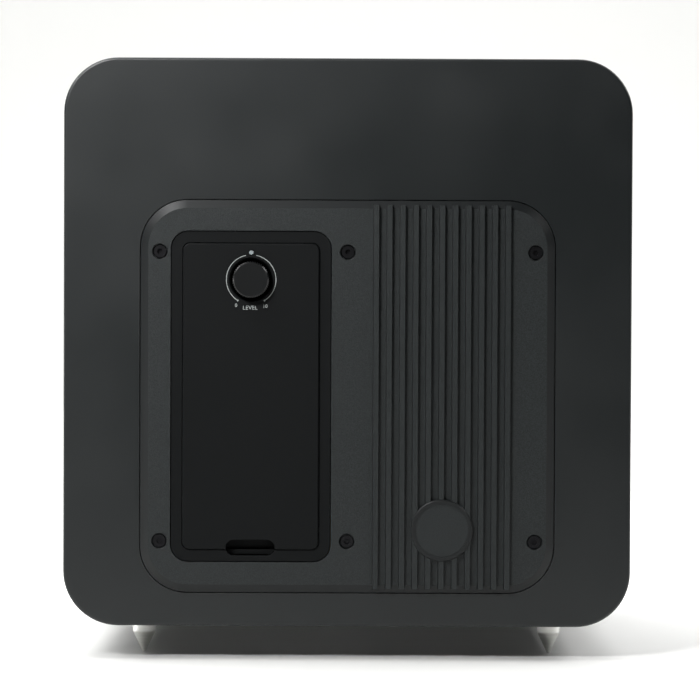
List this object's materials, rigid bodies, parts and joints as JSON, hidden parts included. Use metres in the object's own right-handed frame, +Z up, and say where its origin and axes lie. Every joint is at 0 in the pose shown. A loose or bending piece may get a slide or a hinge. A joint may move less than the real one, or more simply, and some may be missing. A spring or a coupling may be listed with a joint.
{
  "type": "subwoofer",
  "caption": "Powered box subwoofer with rounded edges, finned amplifier plate, magnetic bay cover, level knob, front grille and threaded spikes",
  "frame": {"origin": "on the floor under the middle of the whole outline", "axes": "+X to the right seen from the front, +Y from the grille to the amplifier plate, +Z up"},
  "size_m": [0.3, 0.3242, 0.318],
  "materials": {
    "cabinet_paint": "satin charcoal lacquer over fibreboard",
    "fibreboard": "raw medium-density fibreboard",
    "plate_casting": "die-cast aluminium, fine-grained charcoal powder coat",
    "bay_plastic": "moulded charcoal ABS, smooth",
    "knob_plastic": "moulded black ABS, knurled",
    "spike_steel": "turned steel, satin nickel plate",
    "black_steel": "black oxide steel screws",
    "zinc_steel": "zinc-plated steel",
    "rubber_black": "moulded nitrile rubber",
    "foam_black": "closed-cell foam tape",
    "paper_black": "coated pulp paper",
    "linen_amber": "resin-dipped cotton",
    "winding_tape": "polyester tape over copper windings and a steel core",
    "cloth_black": "knitted acoustic cloth",
    "basket_metal": "black powder-coated die-cast aluminium",
    "ferrite": "sintered ferrite",
    "former_metal": "drawn aluminium former",
    "copper": "enamelled copper wire",
    "board_green": "glass-epoxy circuit board with solder mask",
    "magnet_nickel": "nickel-plated magnet",
    "gold_contact": "gold-plated brass",
    "capacitor_sleeve": "heat-shrunk sleeve",
    "clear_plastic": "clear acrylic light pipe",
    "lead_red": "soft vinyl insulation, red",
    "lead_black": "soft vinyl insulation, black"
  },
  "bodies": {
    "cabinet": {"amp_plate": "plate_casting", "amp_plate_screws": "black_steel", "amp_seal": "foam_black", "baffle_magnets": "magnet_nickel", "bay_tray": "bay_plastic", "board_screws": "zinc_steel", "cabinet_wrap": "cabinet_paint", "crossover_pot": "knob_plastic", "driver_basket": "basket_metal", "driver_gasket": "foam_black", "driver_screws": "black_steel", "driver_terminals": "gold_contact", "front_baffle": "cabinet_paint", "input_board": "board_green", "level_pot": "knob_plastic", "line_in_block": "knob_plastic", "line_in_shells": "gold_contact", "magnet_ring": "ferrite", "magnet_top_plate": "zinc_steel", "magnet_yoke": "zinc_steel", "mains_inlet": "knob_plastic", "mains_pins": "zinc_steel", "output_transistors": "knob_plastic", "phase_switch_housing": "zinc_steel", "power_board": "board_green", "power_switch_housing": "knob_plastic", "rear_board": "cabinet_paint", "reservoir_capacitors": "capacitor_sleeve", "speaker_lead_black": "lead_black", "speaker_lead_red": "lead_red", "spider": "linen_amber", "spike_inserts": "spike_steel", "status_led": "clear_plastic", "status_light_pipe": "clear_plastic", "surround": "rubber_black", "transformer": "winding_tape", "transformer_bolt": "zinc_steel", "transformer_clamp": "zinc_steel", "tray_magnets": "magnet_nickel", "tray_screws": "zinc_steel", "window_brace": "fibreboard"},
    "driver_cone": {"cone": "paper_black", "dust_cap": "paper_black", "voice_coil_former": "former_metal", "voice_coil_winding": "copper"},
    "grille": {"grille_frame": "bay_plastic", "grille_cloth": "cloth_black", "grille_magnets": "magnet_nickel"},
    "cover": {"rear_cover": "bay_plastic", "cover_magnets": "magnet_nickel"},
    "level_control": {"level_knob": "knob_plastic", "level_shaft": "zinc_steel"},
    "crossover_control": {"crossover_knob": "knob_plastic"},
    "rocker": {"power_rocker": "knob_plastic"},
    "phase_control": {"phase_slider": "knob_plastic"},
    "foot_front_left": {"spike_front_left": "spike_steel"},
    "foot_front_right": {"spike_front_right": "spike_steel"},
    "foot_rear_left": {"spike_rear_left": "spike_steel"},
    "foot_rear_right": {"spike_rear_right": "spike_steel"}
  },
  "joints": [
    {"name": "cone_travel", "type": "slide", "parent": "cabinet", "child": "driver_cone", "axis": [0, 1, 0], "range_m": [-0.008, 0.008], "stiffness_N_per_m": 1800, "deforming": ["surround", "spider"]},
    {"name": "grille_pull", "type": "slide", "parent": "cabinet", "child": "grille", "axis": [0, -1, 0], "range_m": [0, 0.1]},
    {"name": "cover_slide", "type": "slide", "parent": "cabinet", "child": "cover", "axis": [0, 1, 0], "range_m": [0, 0.12]},
    {"name": "level_turn", "type": "hinge", "parent": "cabinet", "child": "level_control", "pos_m": [0.0509, 0.15415, 0.2011], "axis": [0, 1, 0], "range_deg": [-150, 150]},
    {"name": "crossover_turn", "type": "hinge", "parent": "cabinet", "child": "crossover_control", "pos_m": [0.0689, 0.11215, 0.1635], "axis": [0, 1, 0], "range_deg": [-150, 150]},
    {"name": "power_rock", "type": "hinge", "parent": "cabinet", "child": "rocker", "pos_m": [0.0709, 0.11265, 0.0935], "axis": [1, 0, 0], "range_deg": [-7, 7]},
    {"name": "phase_slide", "type": "slide", "parent": "cabinet", "child": "phase_control", "axis": [-1, 0, 0], "range_m": [0, 0.003]},
    {"name": "foot_front_left_screw", "type": "slide", "parent": "cabinet", "child": "foot_front_left", "axis": [0, 0, -1], "range_m": [0, 0.006]},
    {"name": "foot_front_right_screw", "type": "slide", "parent": "cabinet", "child": "foot_front_right", "axis": [0, 0, -1], "range_m": [0, 0.006]},
    {"name": "foot_rear_left_screw", "type": "slide", "parent": "cabinet", "child": "foot_rear_left", "axis": [0, 0, -1], "range_m": [0, 0.006]},
    {"name": "foot_rear_right_screw", "type": "slide", "parent": "cabinet", "child": "foot_rear_right", "axis": [0, 0, -1], "range_m": [0, 0.006]}
  ]
}
